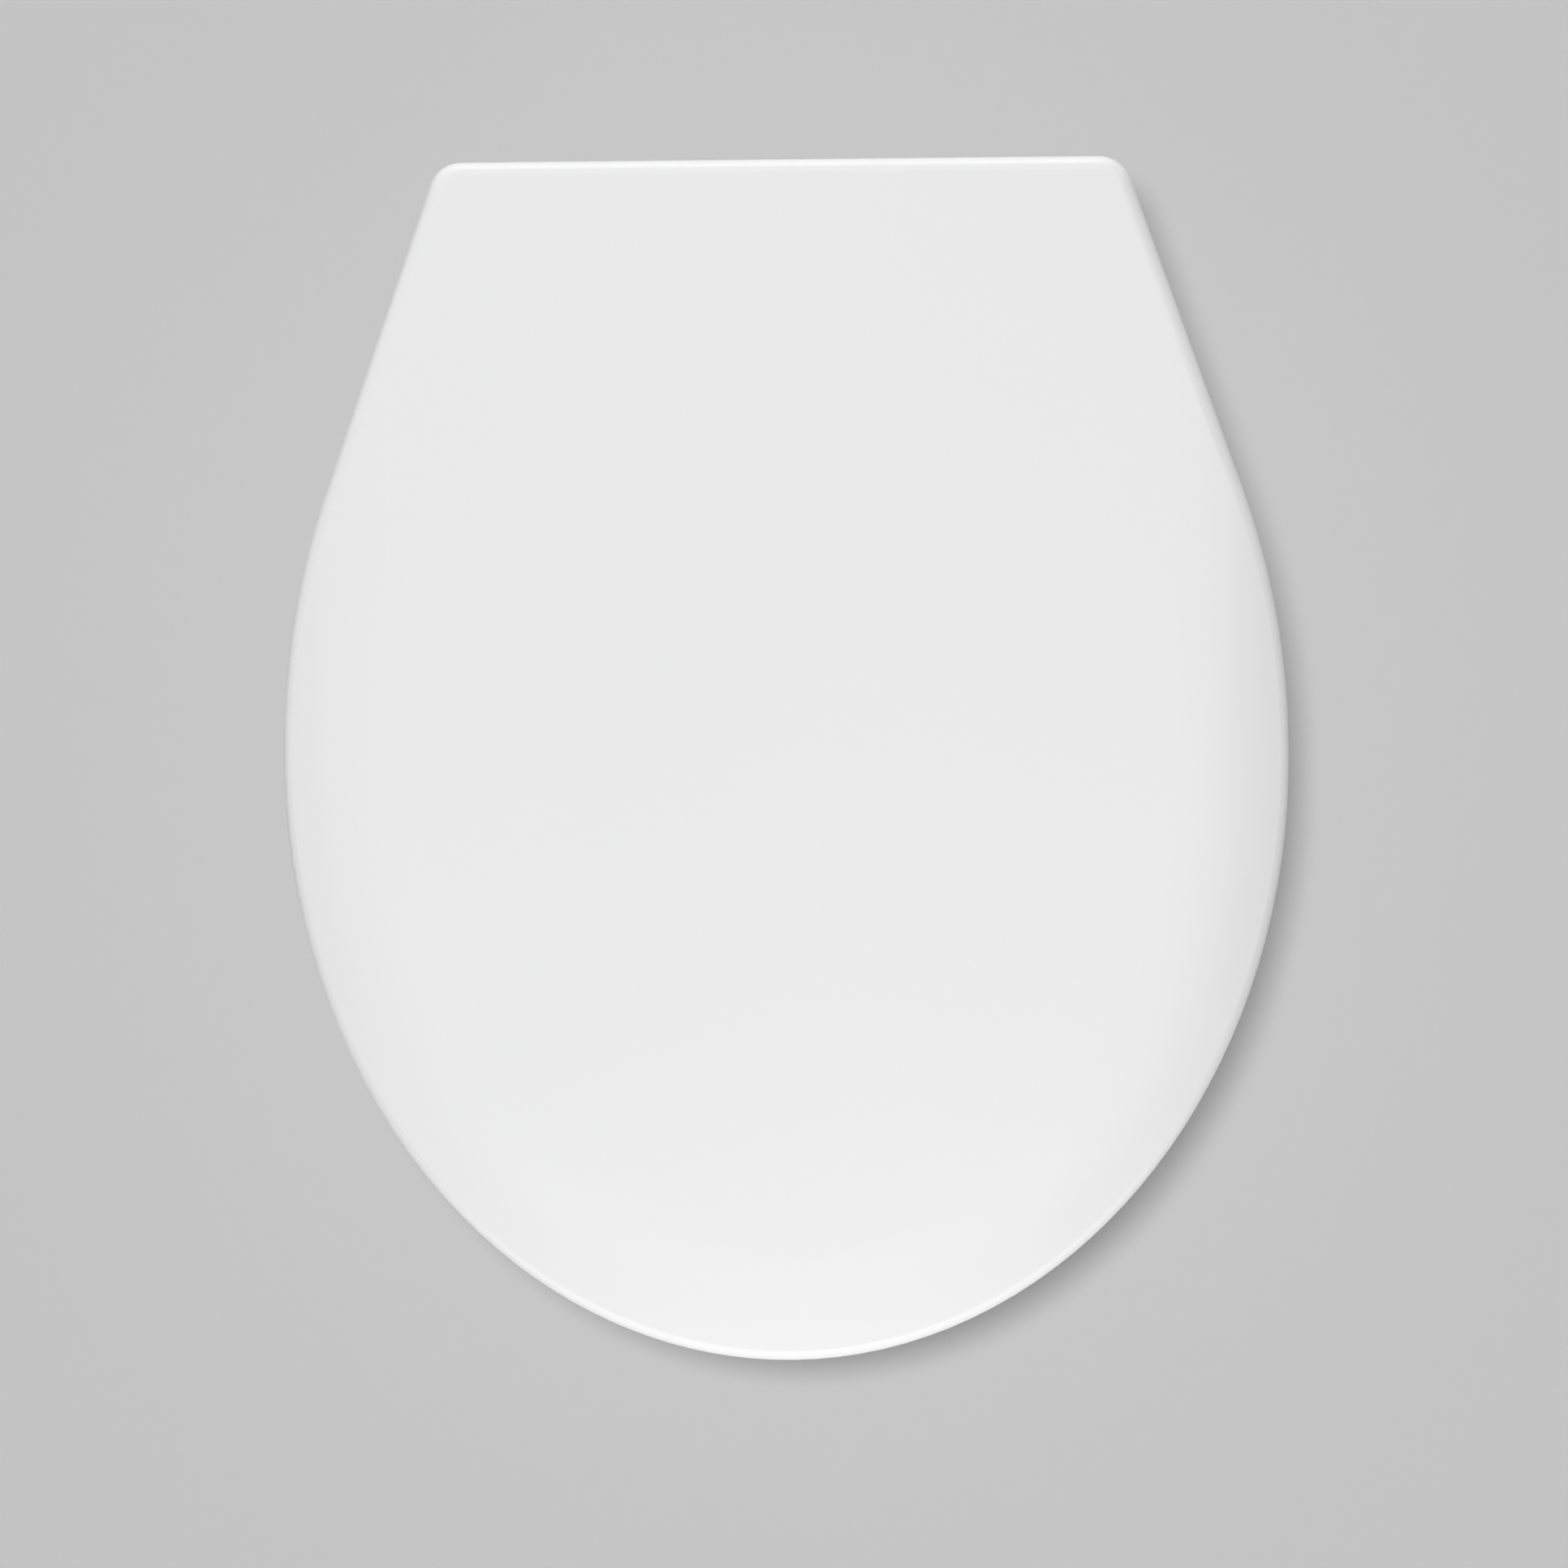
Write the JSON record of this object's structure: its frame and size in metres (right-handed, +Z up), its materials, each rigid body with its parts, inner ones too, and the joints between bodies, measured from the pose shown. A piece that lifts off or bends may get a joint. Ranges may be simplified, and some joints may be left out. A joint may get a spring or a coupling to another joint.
{
  "type": "toilet seat",
  "caption": "White toilet seat: rounded ring and crowned overlapping lid on one hinge line, with cranked hinge brackets, pins, bushes, buffers and wing-nut fixings through the bowl's deck.",
  "frame": {"origin": "midway between the two fixing studs, on the top of the bowl's deck", "axes": "+X to the right seen from the front, +Y to the back (hinge side), +Z up"},
  "size_m": [0.37, 0.442, 0.102],
  "materials": {
    "white_thermoset": "gloss",
    "stainless_steel": "satin",
    "spring_steel": "satin",
    "zinc_steel": "satin",
    "grey_rubber": "matte",
    "white_nylon": "satin",
    "soft_white": "satin"
  },
  "bodies": {
    "hinge_base": {"hinge_bracket_left": "stainless_steel", "hinge_bracket_right": "stainless_steel", "hinge_pin_left": "stainless_steel", "hinge_pin_right": "stainless_steel", "pin_clip_left": "spring_steel", "pin_clip_right": "spring_steel", "fixing_stud_left": "zinc_steel", "fixing_stud_right": "zinc_steel", "base_gasket_left": "grey_rubber", "base_gasket_right": "grey_rubber", "cone_washer_left": "grey_rubber", "cone_washer_right": "grey_rubber", "flat_washer_left": "zinc_steel", "flat_washer_right": "zinc_steel", "wing_nut_left": "zinc_steel", "wing_nut_right": "zinc_steel"},
    "ring": {"seat_ring": "white_thermoset", "ring_bush_left": "white_nylon", "ring_bush_right": "white_nylon", "ring_buffer_front_left": "soft_white", "ring_buffer_front_right": "soft_white", "ring_buffer_rear_left": "soft_white", "ring_buffer_rear_right": "soft_white"},
    "lid": {"lid": "white_thermoset", "lid_bush_left": "white_nylon", "lid_bush_right": "white_nylon", "lid_buffer_left": "soft_white", "lid_buffer_right": "soft_white"}
  },
  "joints": [
    {"name": "ring_hinge", "type": "hinge", "parent": "hinge_base", "child": "ring", "pos_m": [0, 0.024, 0.024], "axis": [-1, 0, 0], "range_deg": [0, 100]},
    {"name": "lid_hinge", "type": "hinge", "parent": "ring", "child": "lid", "pos_m": [0, 0.024, 0.024], "axis": [-1, 0, 0], "range_deg": [0, 105]}
  ]
}
